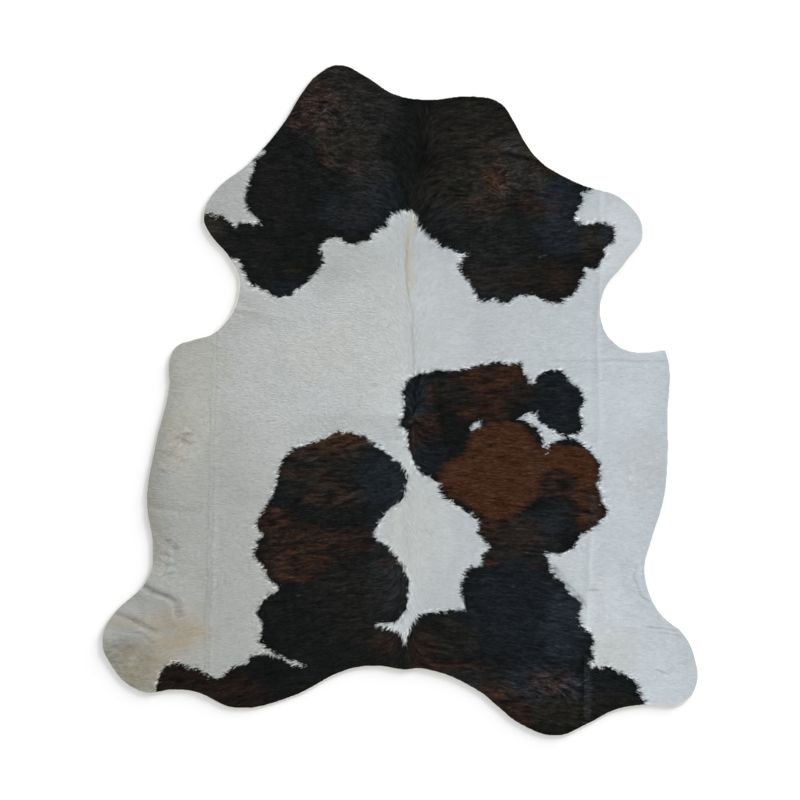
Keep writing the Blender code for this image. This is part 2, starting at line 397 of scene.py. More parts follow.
# Height, or below 0 depth, and half width in millimetres, then the line that each fold follows
FOLDS = (
    # shipping folds down both sides
    (2.4, 4.5, ((-58.8, 22), (-59.2, 5), (-60, -15), (-60.2, -38), (-60.7, -55), (-61.2, -69), (-61.6, -96))),
    (
        1.6, 4.5,
        ((64, 67), (63.8, 42), (63, 20), (63.8, -6), (62.4, -30), (60.8, -44), (60, -66), (59.2, -84)),
    ),
    (2.6, 2.5, ((58.9, -82), (58.9, -106))),
    # across the right flank and the left shoulder
    (-1.6, 6, ACROSS_RIGHT_FLANK),
    (1.4, 7, ((-54, 29.8), (-35, 26.4))),
    # spine
    (-0.9, 4, ((2.4, 60), (2, 52), (1.6, 45), (2.4, 37.5), (4, 27), (4, 18), (4.3, 8))),
    # left flank and left hind leg
    (-2.6, 14, ((-84, -32), (-76, -34.8), (-65, -35.6))),
    (-4.6, 9, ((-84, -58.2), (-79.5, -61.1), (-74.4, -63), (-72, -64.6), (-70.8, -69))),
    (-2.8, 8, ((-91, -68.2), (-86.6, -69.7), (-82.6, -72), (-78.6, -74))),
    (-2.2, 6, ((-88, -73.5), (-83, -75), (-80, -77.2))),
    (-2.4, 8, ((-97, -77), (-93, -78.6), (-89, -80.6))),
    (1.6, 4, ((-72, -8), (-69.5, -8.6), (-67.5, -11), (-68.4, -14))),
    (1.6, 4, ((-75.5, -17.5), (-73, -16.8), (-71.5, -14))),
    (1.6, 4, ((-76.5, -21), (-74.6, -22.6), (-73, -20.8))),
    (2, 4, ((-77, -46), (-74.5, -48.2), (-73.4, -51.4), (-74.4, -54.4), (-77.5, -56.4))),
    (1.6, 3.5, ((-76.6, -50), (-75.6, -52.4), (-77.4, -54))),
    # right flank and right hind leg
    (-2.8, 5, ABOVE_RIGHT_HIND_LEG),
    (1.8, 5, ((67, -71.5), (78, -73), (90, -74.4))),
    (1.4, 4, ((73, -21), (75, -25), (73, -28))),
    (-1.6, 4, ((82, -86), (85, -87), (87, -85))),
    # nick in the neck
    (-3, 2.5, ((34, 78.8), (38, 77.6), (45.5, 76.4))),
    # right lobe, by the spine
    (1.8, 3.5, ((11, 6), (12.5, -1), (13.8, -8), (15.5, -15))),
    (-1.6, 3, ((4.5, 2), (5.5, -4), (9, -7), (10, -12))),
)
# Partings, and painted shade along creases: how much darker, or below 0 brighter, half width in millimetres,
# and the line
# Brighter lines are painted highlights beside folds, curls and the nick
PARTINGS_AND_PAINTED_SHADE = (
    # spine, and painted shade along the fold across the right flank
    (0.17, 3, ((2.2, 52.5), (1.9, 45), (2.2, 37.5), (3.8, 27), (4, 10))),
    (0.06, 5, ACROSS_RIGHT_FLANK),
    # left hind leg: painted shade in its troughs
    (0.22, 9, ((-84, -58), (-79.5, -61), (-74.4, -63))),
    (0.12, 13, ((-74.4, -63), (-72, -64.6), (-70.8, -69))),
    (0.1, 9, ((-91, -68), (-86.6, -69.5), (-82.6, -71.8))),
    (0.2, 7, ((-86.6, -69.5), (-82.6, -71.8), (-78.6, -73.8))),
    # shipping folds: painted shade, and by the right rump a painted highlight beside it
    (0.14, 3, ((-59.8, 0), (-60.3, -30), (-60.8, -50), (-61.4, -90))),
    (0.1, 3, ((63, 45), (62.1, 20), (63, -6))),
    (0.08, 3, ((60, -44), (59.4, -66))),
    (0.9, 2.5, ((58.6, -84), (58.6, -106))),
    (-0.9, 2.2, ((59.6, -84), (59.6, -106))),
    # above the left lobe
    (0.1, 3, ((-9.6, -2.6), (-4, -5.6), (-0.4, -8.4))),
    # right hind leg: painted shade along its folds and wrinkles
    (0.28, 3, ((82, -86), (85, -87.4), (87, -85.6))),
    (0.24, 2.5, ((90, -84.4), (92, -82.8))),
    (0.28, 3, ((60.2, -60.6), (63.4, -60.4))),
    (0.36, 3, ABOVE_RIGHT_HIND_LEG),
    (0.16, 3, ((63.6, -62), (64.4, -67), (63.8, -72))),
    (0.22, 3, ((78, -72.2), (83, -73), (88.5, -73.6))),
    # fringe at the right rump's border: painted shadow where the pale hair curls over, and a dark stroke
    (0.9, 4, ((48.6, -52.4), (51.6, -56), (54.6, -60.4), (57, -63.4))),
    (0.85, 3, ((57.4, -62.7), (59, -66))),
    # right lobe, by the spine: painted shade and a painted highlight along a fold
    (0.5, 4, ((11.4, 4.3), (12.6, -2), (13.9, -7.8), (15.5, -14.9))),
    (-0.8, 2.5, ((14.4, -9), (15.5, -12), (16, -15.6))),
    # nick in the neck: painted shade in it and a painted highlight above it
    (0.95, 6, ((34, 79), (38, 77.8), (45.5, 76.6))),
    (-0.5, 6, ((33, 81.6), (37, 80.4), (42, 79.2))),
    # dark lines between curls on the neck
    (0.6, 3, ((27, 73.4), (29, 74.6), (31.4, 73.6), (32.4, 71))),
    (0.6, 3, ((28.6, 70.6), (31, 68.8), (34, 70.4))),
    (0.6, 3, ((-27.6, 96.4), (-26.2, 94.6), (-25.8, 91.6))),
    (0.6, 3, ((-25.2, 96), (-22.4, 95.6), (-20.6, 92.8))),
    (0.5, 3, ((-32.4, 93), (-30, 92.6), (-28, 90.6))),
    (0.5, 3, ((-24, 88.8), (-21.8, 87.8), (-20.2, 84.6))),
    # swirls on the left flank: painted shade and highlights on their curls
    (0.46, 3, ((-71.4, -12.3), (-69.6, -10.9), (-67, -10.6))),
    (-0.2, 3, ((-70.6, -10.4), (-69.2, -9.2), (-67.4, -9))),
    (0.4, 3, ((-71.5, -14.6), (-70.6, -13.3), (-69.3, -12.6), (-67, -13.9))),
    (0.2, 3, ((-77, -16), (-74.5, -17), (-72, -16))),
    (0.22, 3, ((-77, -21.6), (-75.8, -22.9), (-74.4, -22))),
    (-0.2, 3, ((-76.8, -20.6), (-75.6, -21.4))),
    (0.18, 3, ((-71, -18.4), (-70, -19.6), (-68.6, -18.2))),
    (0.7, 3.5, ((-74.6, -44.3), (-73.2, -45.6), (-71.8, -47.4))),
    (-0.5, 3.5, ((-74.9, -50), (-73.4, -50.8))),
    (0.55, 3.5, ((-75.7, -51), (-74.4, -52.4), (-72.5, -52.2))),
    (-0.2, 3, ((-76.2, -53.8), (-74.4, -54), (-72.2, -53.6))),
    (0.26, 3, ((-75.4, -55.4), (-74, -55.4), (-72, -54.8))),
)
# Whorls: middle right and forward, half width
WHORLS = (
    (-24, 82, 2.5),
    (31, 71, 3),
    (-70, -13, 3),
    (-74.4, -51, 3),
    (74, -24, 2),
)
# Where the hair is curly: middle right and forward, half width, half length, and how much
CURLS = (
    (-24, 91, 16, 14, 1),
    (-22, 76, 12, 10, 0.8),
    (-8, 74, 14, 14, 0.4),
    (31, 71, 8, 8, 1),
    (26, 66, 15, 15, 0.5),
    (40, 74, 9, 8, 0.6),
    (-28, -38, 18, 26, 0.2),
    (-71, -14, 7, 9, 0.7),
    (-75, -51, 6, 8, 0.7),
    (6, 0, 6, 10, 0.3),
    (-84, -86, 14, 12, 0.6),
    (50, -92, 12, 8, 0.7),
)
# The spine's place right of the middle, from the tail to the neck
SPINE_FORWARD = (-90, -30, 10, 27, 45, 60, 97)
SPINE_RIGHT = (1, 3.5, 4.5, 4, 2.2, 3, 8.5)


# ---- Small tools ----


def eased(low, high, value):
    """0 below low, 1 above high and a smooth turn between."""
    t = np.clip((value - low) / (high - low), 0, 1)
    return t * t * (3 - 2 * t)


def daylight(colour):
    """A colour out of 255 as the light that it gives back, which is what materials take."""
    c = np.asarray(colour, float) / 255
    return np.where(c <= 0.04045, c / 12.92, ((c + 0.055) / 1.055) ** 2.4)


def between_squares(table, row, column, across, along):
    """The table's value that far across and along from a square to the next."""
    near = table[row, column] * (1 - across) + table[row, column + 1] * across
    far = table[row + 1, column] * (1 - across) + table[row + 1, column + 1] * across
    return near * (1 - along) + far * along


def soft_noise(x, y, size, seed):
    """Smooth random values from -1 to 1, in bumps about as far apart as size."""
    table = np.random.default_rng(seed).uniform(-1, 1, (256, 256))
    u, v = x / size + 500.5, y / size + 500.5
    column, row = np.floor(u).astype(int), np.floor(v).astype(int)
    across, along = eased(0, 1, u - column), eased(0, 1, v - row)
    return between_squares(table, row % 255, column % 255, across, along)


def wandering(x, y, far, size, seed):
    """The same places, each moved a little."""
    return x + far * soft_noise(x, y, size, seed), y + far * soft_noise(x, y, size, seed + 1)


def rounded(loop, parts):
    """The closed loop as a smooth curve through its points, with that many parts between them."""
    before, here = np.roll(loop, 1, axis=0), loop
    after, last = np.roll(loop, -1, axis=0), np.roll(loop, -2, axis=0)
    steps = []
    for t in np.arange(parts) / parts:
        steps.append(0.5 * (
            2 * here + (after - before) * t
            + (2 * before - 5 * here + 4 * after - last) * t ** 2
            + (3 * here - before - 3 * after + last) * t ** 3
        ))
    return np.stack(steps, axis=1).reshape(-1, 2)


def inset(loop, by):
    """The anticlockwise loop moved inwards by that much at each point."""
    along = np.roll(loop, -1, axis=0) - np.roll(loop, 1, axis=0)
    along /= np.linalg.norm(along, axis=1)[:, None]
    inwards = np.stack([-along[:, 1], along[:, 0]], axis=1)
    return loop + inwards * np.broadcast_to(by, len(loop))[:, None]


def turned(right, forward, turn):
    """The direction turned to the left by that many radians."""
    angle = np.arctan2(forward, right) + turn
    return np.cos(angle), np.sin(angle)


def distance_to(line, x, y):
    """How far each place is from a line through the given points."""
    least = np.full(x.shape, np.inf)
    for (x0, y0), (x1, y1) in zip(line[:-1], line[1:]):
        run = np.hypot(x1 - x0, y1 - y0)
        ux, uy = (x1 - x0) / run, (y1 - y0) / run
        along = np.clip((x - x0) * ux + (y - y0) * uy, 0, run)
        least = np.minimum(least, np.hypot(x - x0 - along * ux, y - y0 - along * uy))
    return least


def cut_edge(solid):
    """The hide's cut edge from above, anticlockwise, off the upright band round the solid."""
    mesh = solid.data
    upright = [face for face in mesh.polygons if abs(face.normal.z) < 0.1]
    foot = min(mesh.vertices[v].co.z for face in upright for v in face.vertices) + 0.1 * MM
    following = {}
    for face in upright:
        corners = [mesh.vertices[v].co for v in face.vertices]
        for here, there in zip(corners, corners[1:] + corners[:1]):
            if max(here.z, there.z) < foot:
                following[round(here.x, 5), round(here.y, 5)] = (round(there.x, 5), round(there.y, 5))
    first = next(iter(following))
    loop, spot = [first], following[first]
    while spot != first:
        loop.append(spot)
        spot = following[spot]
    loop = np.array(loop)
    after = np.roll(loop, -1, axis=0)
    turns_left = (loop[:, 0] * after[:, 1] - after[:, 0] * loop[:, 1]).sum() > 0
    return loop if turns_left else loop[::-1]


# ---- Plans: the hide seen from above, ruled in small squares with a value in each ----

PLAN_STEP = 2 * MM
PLAN_MARGIN = 30 * MM
plan_left, plan_back = cad_low.x - PLAN_MARGIN, cad_low.y - PLAN_MARGIN
plan_columns = int((cad_high.x - cad_low.x + 2 * PLAN_MARGIN) / PLAN_STEP)
plan_rows = int((cad_high.y - cad_low.y + 2 * PLAN_MARGIN) / PLAN_STEP)
plan_x, plan_y = np.meshgrid(
    plan_left + PLAN_STEP * np.arange(plan_columns),
    plan_back + PLAN_STEP * np.arange(plan_rows),
)


def read(plan, x, y):
    """The plan's value at each place, blended between its squares."""
    u = np.clip((x - plan_left) / PLAN_STEP, 0, plan_columns - 1.001)
    v = np.clip((y - plan_back) / PLAN_STEP, 0, plan_rows - 1.001)
    column, row = u.astype(int), v.astype(int)
    across, along = u - column, v - row
    if plan.ndim == 3:
        across, along = across[..., None], along[..., None]
    return between_squares(plan, row, column, across, along)


def filled(loop):
    """A plan with 1 inside the loop and 0 outside."""
    crossings = np.zeros((plan_rows, plan_columns + 1), int)
    for (x0, y0), (x1, y1) in zip(loop, np.roll(loop, -1, axis=0)):
        if y0 > y1:
            x0, y0, x1, y1 = x1, y1, x0, y0
        first = max(0, int(np.ceil((y0 - plan_back) / PLAN_STEP)))
        last = min(plan_rows, int(np.ceil((y1 - plan_back) / PLAN_STEP)))
        if last <= first:
            continue
        row = np.arange(first, last)
        x = x0 + (plan_back + PLAN_STEP * row - y0) * (x1 - x0) / (y1 - y0)
        column = np.clip(np.ceil((x - plan_left) / PLAN_STEP).astype(int), 0, plan_columns)
        np.add.at(crossings, (row, column), 1)
    return (np.cumsum(crossings, axis=1)[:, :-1] % 2).astype(float)


def drawn(outline):
    """A plan with 1 inside a given outline."""
    return filled(rounded(np.array(outline) * CM, 4))


def softened(plan, times=1):
    """The plan with each square evened out with its neighbours, that many times."""
    for _ in range(times):
        for axis in (0, 1):
            plan = (plan + np.roll(plan, 1, axis) + np.roll(plan, -1, axis)) / 3
    return plan


def near_line(line, half_width):
    """A plan with 1 on a line, and less away from it: 0.37 at its half width."""
    x, y = wandering(plan_x, plan_y, 3 * MM, 50 * MM, 41)
    return np.exp(-(distance_to(np.array(line) * CM, x, y) / half_width) ** 2)


def bumps(size, seed):
    """A plan of smooth random values from -1 to 1, about that far apart."""
    return soft_noise(plan_x, plan_y, size, seed)


# ---- How the hide lies ----


def folds_plan():
    """Height of the folds. One with a height below 0 is a trough in a broad swell."""
    height = np.zeros_like(plan_x)
    for index, (tall, half_width, line) in enumerate(FOLDS):
        tall, half_width = tall * MM, half_width * MM
        rise = tall * near_line(line, half_width)
        if tall < 0:
            rise -= tall * near_line(line, TROUGH_TO_SWELL * half_width)
        uneven = 0.8 + 0.35 * bumps(80 * MM, 60 + index)
        height += rise * uneven
    return height


def depth_plan(edge):
    """How far each place is from the cut edge."""
    coarse = 5
    x, y = plan_x[::coarse, ::coarse], plan_y[::coarse, ::coarse]
    from_edge = distance_to(np.vstack([edge[::4], edge[:1]]), x, y)
    from_edge = np.repeat(np.repeat(from_edge, coarse, axis=0), coarse, axis=1)
    return softened(from_edge[:plan_rows, :plan_columns], coarse)


def lift_plan():
    """The skin's height above the floor: folds, slow waves, a curled edge and the left flank's swell."""
    less_on_flank = 0.15
    curl = EDGE_CURL + EDGE_CURL_CHANGE * bumps(160 * MM, 5)
    curl *= np.exp(-from_edge / EDGE_CURL_REACH) * (1 - less_on_flank * on_left_flank)
    swell = FLANK_SWELL * (1 - np.exp(-from_edge / FLANK_RISE)) * np.exp(-(from_edge / FLANK_REACH) ** 2)
    waves = WAVE_HEIGHT * (1 + bumps(230 * MM, 6))
    ripples = RIPPLE_HEIGHT * bumps(35 * MM, 7)
    return np.maximum(folded + curl + swell * on_left_flank + waves + ripples, 0)


def left_flank_plan():
    """1 on the left flank and 0 away from it."""
    inner, outer, middle, half_length = -0.55, -0.75, -0.15, 0.42
    return eased(inner, outer, plan_x) * np.exp(-((plan_y - middle) / half_length) ** 2)


# ---- How the hair lies ----


def curls_plan():
    """How curly the hair is, from 0 to 1."""
    curly = np.zeros_like(plan_x)
    for middle_x, middle_y, half_width, half_length, strength in CURLS:
        off = ((plan_x / CM - middle_x) / half_width) ** 2 + ((plan_y / CM - middle_y) / half_length) ** 2
        curly = np.maximum(curly, strength * np.exp(-off))
    return curly


def lie_of_hair():
    """Which way the hair points, as steps right and forward: out from the spine and round whorls."""
    x, y = plan_x / CM, plan_y / CM
    spine_width, whorl_strength, whorl_spin, whorl_eye = 4, 0.8, 0.5, 0.3
    side = x - np.interp(y, SPINE_FORWARD, SPINE_RIGHT)
    reach = np.interp(y, (-60, -20, 40), (4, 5, 7))
    by_spine = np.exp(-(side / reach) ** 2)
    along_spine = np.interp(y, (-90, -30, -6, 15, 60, 100), (-1.6, -1.3, 0, 1.2, 1.6, 0.4))
    along_flank = np.interp(y, (-100, -30, 0, 40, 100), (-0.18, -0.06, 0, 0.04, 0.05))
    right = np.tanh(side / spine_width)
    forward = along_spine * by_spine + along_flank * (1 - by_spine)
    for middle_x, middle_y, half_width in WHORLS:
        away_x, away_y = x - middle_x, y - middle_y
        away = np.hypot(away_x, away_y) + whorl_eye
        inside = whorl_strength * np.exp(-(away / half_width) ** 2)
        right = right * (1 - inside) + inside * (away_x - whorl_spin * away_y) / away
        forward = forward * (1 - inside) + inside * (away_y + whorl_spin * away_x) / away
    wide_bends, fine_bends = soft_noise(x, y, 4, 11), soft_noise(x, y, 1.3, 12)
    waviness = 0.14 + 0.7 * curly
    return turned(right, forward, waviness * (0.7 * wide_bends + fine_bends))


def combed(grain, reach):
    """The grain drawn out into streaks along the lie of the hair, with a spread of 1."""
    total = grain.copy()
    steps = int(reach / PLAN_STEP)
    for way in (1, -1):
        row, column = np.indices(grain.shape).astype(float)
        for _ in range(steps):
            i = np.clip(np.rint(row).astype(int), 0, plan_rows - 1)
            j = np.clip(np.rint(column).astype(int), 0, plan_columns - 1)
            total += grain[i, j]
            row += way * hair_forward[i, j]
            column += way * hair_right[i, j]
    return (total - total.mean()) / total.std()


# ---- Colours ----


def patches_plan():
    """1 where the hair is dark."""
    dark = np.maximum(drawn(NECK_PATCH), drawn(BACK_PATCH))
    for outline in WHITE_MARKS:
        dark *= 1 - drawn(outline)
    dark = softened(dark)
    x, y = wandering(plan_x, plan_y, 1.8 * MM, 11 * MM, 21)
    x, y = wandering(x, y, 1.2 * MM, 5 * MM, 23)
    return read(dark, x, y)


def mixed(colour, other, amount):
    """The colours with that much of the other colour in them."""
    return colour + (daylight(other) - colour) * amount.clip(0, 1)[..., None]


def shaded(colour, shade):
    """The colours made lighter or darker by that share, more as grey than in their own hue."""
    own_hue, darkest = 0.35, 0.25
    grey = colour.mean(axis=-1, keepdims=True)
    changed = colour + (shade - 1)[..., None] * (own_hue * colour + (1 - own_hue) * grey)
    return np.maximum(changed, darkest * colour)


def tinted(colour, tints, far, seed):
    """The colours with each tint laid on as an uneven oval, broken into streaks along the hair."""
    full, gone = 0.55, 1.25
    x, y = wandering(plan_x, plan_y, far, 45 * MM, seed)
    for tint, middle_x, middle_y, half_width, half_length, strength, broken in tints:
        off = np.hypot((x / CM - middle_x) / half_width, (y / CM - middle_y) / half_length)
        amount = strength * (1 - eased(full, gone, off))
        colour = mixed(colour, tint, amount * (1 + broken * (0.8 * streaks - 0.1)).clip(0, 2))
    return colour


def dark_colours():
    """Black with a plain brown part, and with brown and blue tints."""
    raggedness, darker_at_border = 0.3, 0.4
    colour = np.broadcast_to(daylight(BLACK), plan_x.shape + (3,))
    brown = read(softened(drawn(BROWN_PATCH), 10), *wandering(plan_x, plan_y, 5 * MM, 30 * MM, 29))
    colour = mixed(colour, BROWN, eased(0.2, 0.8, brown + raggedness * streaks * (brown > 0.02)))
    colour = tinted(colour, DARK_TINTS, 6 * MM, 31)
    brindle = (0.17 + 0.2 * curly) * fine_streaks + 0.06 * broad_streaks + 0.08 * blotches
    colour = shaded(colour, 1 + brindle)
    border = eased(0.98, 0.60, softened(dark, 2))
    return colour * ((1 - darker_at_border * border) * parting_and_painted_shade)[..., None]


def pale_colours():
    """White hair with its stains; the warm left and cool right are partly painted light, the darker left edge
    painted shade.
    """
    # painted light in part: brighter and cooler towards the light on the right
    across = (-90 * CM, -42 * CM, 80 * CM)
    shades = [daylight(shade) for shade in (PALE_LEFT, PALE_INNER, PALE_RIGHT)]
    colour = np.stack([np.interp(plan_x, across, [shade[i] for shade in shades]) for i in range(3)], axis=2)
    colour = tinted(colour, PALE_TINTS, 16 * MM, 33)
    mottling, painted_shade_at_left_edge, shade_reach = 0.02, 0.24, 35 * MM
    mottle = mottling * (bumps(120 * MM, 37) + bumps(30 * MM, 38))
    # painted shade: the hair darker towards the left flank's edge, where the hide falls away from the light
    painted_left_edge_shade = painted_shade_at_left_edge * on_left_flank * np.exp(-from_edge / shade_reach)
    grained = 0.012 + 0.04 * curly
    return colour * ((1 + mottle + grained * fine_streaks) * (1 - painted_left_edge_shade) * parting_and_painted_shade)[..., None]


def partings_and_shade_plan():
    """How bright the hair stays along partings, with painted shade along creases and painted highlights
    beside them.
    """
    shade = np.ones_like(plan_x)
    for index, (darker, half_width, line) in enumerate(PARTINGS_AND_PAINTED_SHADE):
        uneven = 1 + 0.5 * bumps(30 * MM, 80 + index)
        shade *= 1 - (darker * uneven).clip(-0.9, 0.95) * near_line(line, half_width * MM)
    return shade


# ---- Meshes ----


def placed(name, data):
    """A new object in the scene."""
    thing = bpy.data.objects.new(name, data)
    bpy.context.scene.collection.objects.link(thing)
    return thing


def mesh_piece(name, points, faces, material, colours, places):
    """A mesh of triangles, with a colour and a place on the printed pattern at each point."""
    mesh = bpy.data.meshes.new(name)
    mesh.vertices.add(len(points))
    mesh.vertices.foreach_set("co", np.ravel(points).astype(np.float32))
    mesh.loops.add(faces.size)
    mesh.loops.foreach_set("vertex_index", np.ravel(faces).astype(np.int32))
    mesh.polygons.add(len(faces))
    mesh.polygons.foreach_set("loop_start", np.arange(0, faces.size, 3, dtype=np.int32))
    mesh.update(calc_edges=True)
    tone = mesh.attributes.new("hair_colour", "FLOAT_COLOR", "POINT")
    rgba = np.ones((len(points), 4), np.float32)
    rgba[:, :3] = colours
    tone.data.foreach_set("color", rgba.ravel())
    print_map = mesh.uv_layers.new(name="OFBake")
    print_map.data.foreach_set("uv", np.ravel(places[np.ravel(faces)]).astype(np.float32))
    mesh.materials.append(material)
    return placed(name, mesh)


def spread_places(spots, low, high, left=0.0, right=1.0):
    """Places on the printed pattern for spots between two corners, from left to right of it."""
    margin = 0.004
    share = margin + (1 - 2 * margin) * (spots - low) / (high - low)
    return np.column_stack([left + (right - left) * share[:, 0], share[:, 1]])


# ---- Materials ----


def plain_material(name, roughness, shine):
    """A material with that roughness and shine, and its surface shader."""
    material = bpy.data.materials.new(name)
    material.use_nodes = True
    surface = material.node_tree.nodes["Principled BSDF"]
    surface.inputs["Roughness"].default_value = roughness
    surface.inputs["Specular IOR Level"].default_value = shine
    return material, surface


def hair_material(name, roughness, shine):
    """Hair or leather that takes its colour from the mesh."""
    material, surface = plain_material(name, roughness, shine)
    tone = material.node_tree.nodes.new("ShaderNodeAttribute")
    tone.attribute_name = "hair_colour"
    material.node_tree.links.new(tone.outputs["Color"], surface.inputs["Base Color"])
    return material


# ---- Pieces ----


def scattered(spacing):
    """Places all over the hide, about that far apart, in no pattern."""
    random = np.random.default_rng(71)
    x, y = np.meshgrid(
        np.arange(cad_low.x, cad_high.x, spacing), np.arange(cad_low.y, cad_high.y, spacing)
    )
    farthest = 0.42
    x = x + random.uniform(-farthest, farthest, x.shape) * spacing
    y = y + random.uniform(-farthest, farthest, y.shape) * spacing
    return x.ravel(), y.ravel()


def bare_rim(edge):
    """How wide the leather shows at the cut edge: more by the left foreleg and along the back."""
    least, widened = 1.2, 5.4
    x, y = edge[:, 0] / CM, edge[:, 1] / CM
    left_bay = np.exp(-((x + 58) / 9) ** 2 - ((y - 38) / 14) ** 2)
    left_foreleg = np.exp(-((x + 62) / 6) ** 2 - ((y - 52) / 8) ** 2)
    back = 0.4 * eased(-78, -84, y)
    return (least + widened * np.maximum(np.maximum(left_bay, left_foreleg), back)) * MM


def skin_mesh(edge):
    """The skin's points and triangles, closer on folds, and how many points go round it."""
    loops = (inset(edge, RIM_ROUNDING), inset(edge, bare_rim(edge)))
    on_flat, on_folds, folds_begin = 15 * MM, 6.5 * MM, 0.25 * MM
    x, y = scattered(on_flat)
    flat = read(softened(folded, 3), x, y) <= folds_begin
    finer_x, finer_y = scattered(on_folds)
    steep = read(folded, finer_x, finer_y) > folds_begin
    x = np.concatenate([x[flat], finer_x[steep]])
    y = np.concatenate([y[flat], finer_y[steep]])
    inside = read(well_inside, x, y) > 0.97
    points = np.vstack([*loops, np.column_stack([x[inside], y[inside]])])
    edges, start = [], 0
    for loop in loops:
        numbers = np.arange(start, start + len(loop))
        edges += list(zip(numbers.tolist(), np.roll(numbers, -1).tolist()))
        start += len(loop)
    made = delaunay_2d_cdt([Vector(p) for p in points], edges, [], 1, 1e-6)
    points = np.array([tuple(p) for p in made[0]])
    faces = np.array([tuple(face) for face in made[2]])
    return points, faces, len(edge)


def leather_piece(edge, points, faces, rim):
    """The tanned skin as one closed sheet."""
    x, y = points.T
    lift = read(lift_of_skin, x, y)
    count = len(points)
    edge_lift = read(lift_of_skin, edge[:, 0], edge[:, 1])
    everything = np.vstack([
        np.column_stack([points, lift + SKIN]),
        np.column_stack([points, lift]),
        np.column_stack([edge, edge_lift + SKIN - RIM_ROUNDING]),
        np.column_stack([edge, edge_lift + RIM_ROUNDING]),
    ])
    numbers = np.arange(rim)
    rings = (numbers, 2 * count + numbers, 2 * count + rim + numbers, count + numbers)
    walls = []
    for high, low in zip(rings[:-1], rings[1:]):
        after_high, after_low = np.roll(high, -1), np.roll(low, -1)
        walls += [np.stack([high, low, after_low], axis=1), np.stack([high, after_low, after_high], axis=1)]
    triangles = np.vstack([faces, faces[:, ::-1] + count, *walls])
    room = 8 * MM
    low, high = edge.min(axis=0) - room, edge.max(axis=0) + room
    outside, further_out = inset(edge, -room / 4), inset(edge, -room / 2)
    places = np.vstack([
        spread_places(spots, low, high, left, left + 0.5)
        for spots, left in ((points, 0), (points, 0.5), (outside, 0), (further_out, 0))
    ])
    mottle = 0.05 * soft_noise(x, y, 40 * MM, 51) + 0.04 * soft_noise(x, y, 9 * MM, 52)
    darker_under_dark_hair = 0.10
    face_colours = daylight(LEATHER) * (1 + mottle - darker_under_dark_hair * read(dark, x, y))[:, None]
    colours = np.vstack([face_colours, face_colours, np.tile(daylight(LEATHER), (2 * rim, 1))])
    material = hair_material("bare_leather", roughness=0.85, shine=0.2)
    piece = mesh_piece("tanned_skin", everything, triangles, material, colours, places)
    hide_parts("hide")
    return piece


def undercoat_piece(points, faces, rim):
    """The short fine hair next to the skin, as one soft layer."""
    used, numbers = np.unique(faces[(faces >= rim).all(axis=1)], return_inverse=True)
    spots = points[used]
    x, y = spots.T
    z = read(lift_of_skin, x, y) + SKIN + UNDERCOAT_ABOVE_SKIN
    piece = mesh_piece(
        "undercoat", np.column_stack([spots, z]), numbers.reshape(-1, 3),
        hair_material("undercoat_hair", roughness=0.8, shine=0.05), read(coat_colour, x, y) * UNDERCOAT_SHADE,
        spread_places(spots, spots.min(axis=0), spots.max(axis=0)),
    )
    return piece


def way_inside(plan, x, y, step_x, step_y):
    """The share of its step that each place can go before the plan falls below a half."""
    share = np.ones_like(x)
    going = np.ones(len(x), bool)
    checks = 6
    before = read(plan, x, y)
    for number in range(1, checks + 1):
        now = read(plan, x + step_x * number / checks, y + step_y * number / checks)
        leaves = going & (now < 0.5)
        crossing = (before - 0.5) / np.maximum(before - now, 1e-6)
        share[leaves] = (number - 1 + crossing[leaves].clip(0, 1)) / checks
        going &= ~leaves
        before = now
    return share


def rooted_locks():
    """Where the locks grow: places strewn evenly inside the hair line."""
    per_area = LOCKS_PER_SQUARE_METRE * 1
    x, y = scattered(per_area ** -0.5)
    inside = read(hair_cover, x, y) > 0.5
    return x[inside], y[inside]


def tufts(x, y, right, forward):
    """Each lock's tuft, as a number from 0 to 1, and how far left of its middle the lock grows."""
    random = np.random.default_rng(92)
    many, drawn_out = 256, 0.5
    spot_x, spot_y, own = random.uniform(0, 1, (3, many, many))
    here_column, here_row = np.floor(x / TUFT_WIDTH).astype(int), np.floor(y / TUFT_WIDTH).astype(int)
    nearest, tuft, aside = np.full(len(x), np.inf), np.zeros(len(x)), np.zeros(len(x))
    for column in (here_column - 1, here_column, here_column + 1):
        for row in (here_row - 1, here_row, here_row + 1):
            i, j = row % many, column % many
            away_x = x - (column + spot_x[i, j]) * TUFT_WIDTH
            away_y = y - (row + spot_y[i, j]) * TUFT_WIDTH
            to_left = away_y * right - away_x * forward
            away = np.hypot(to_left, drawn_out * (away_x * right + away_y * forward))
            closer = away < nearest
            nearest[closer], tuft[closer], aside[closer] = away[closer], own[i, j][closer], to_left[closer]
    return tuft, aside


def over_the_border(x, y, right, forward, length, is_dark, tuft, aside):
    """The locks' lengths, cut beyond a patch's border so that each tuft ends in a spike."""
    random = np.random.default_rng(87)
    least_spike, dark_spike, pale_spike, lengthened, shortened = 0.5 * MM, 36 * MM, 46 * MM, 1.5, 0.8
    for mine, patch, farthest in ((is_dark, dark, dark_spike), (~is_dark, 1 - dark, pale_spike)):
        longest = lengthened * length[mine]
        step_x, step_y = right[mine] * longest, forward[mine] * longest
        share = way_inside(patch, x[mine], y[mine], step_x, step_y)
        pointed = (1 - (aside[mine] / (0.6 * TUFT_WIDTH)) ** 2).clip(0.1, 1)
        beyond = least_spike + farthest * pointed * tuft[mine] ** 3 * random.uniform(0.6, 1, len(longest))
        stray = read(patch, x[mine], y[mine]) < 0.5
        cut = np.where(stray, shortened * length[mine], np.minimum(longest, share * longest + beyond))
        length[mine] = np.where(share < 1, cut, length[mine])
    return length


def dark_locks(x, y):
    """Which locks are dark: all well inside the patches, and some by chance near their borders."""
    random = np.random.default_rng(90)
    chance = 0.5 * read(softened(dark, 3), x, y) + 0.5 * read(softened(dark, 22), x, y)
    by_place, by_lock = 0.35, 0.2
    needed = 0.5 + by_place * soft_noise(x, y, 7 * MM, 89) + by_lock * random.uniform(-1, 1, len(x))
    return chance > needed.clip(0.03, 0.97)


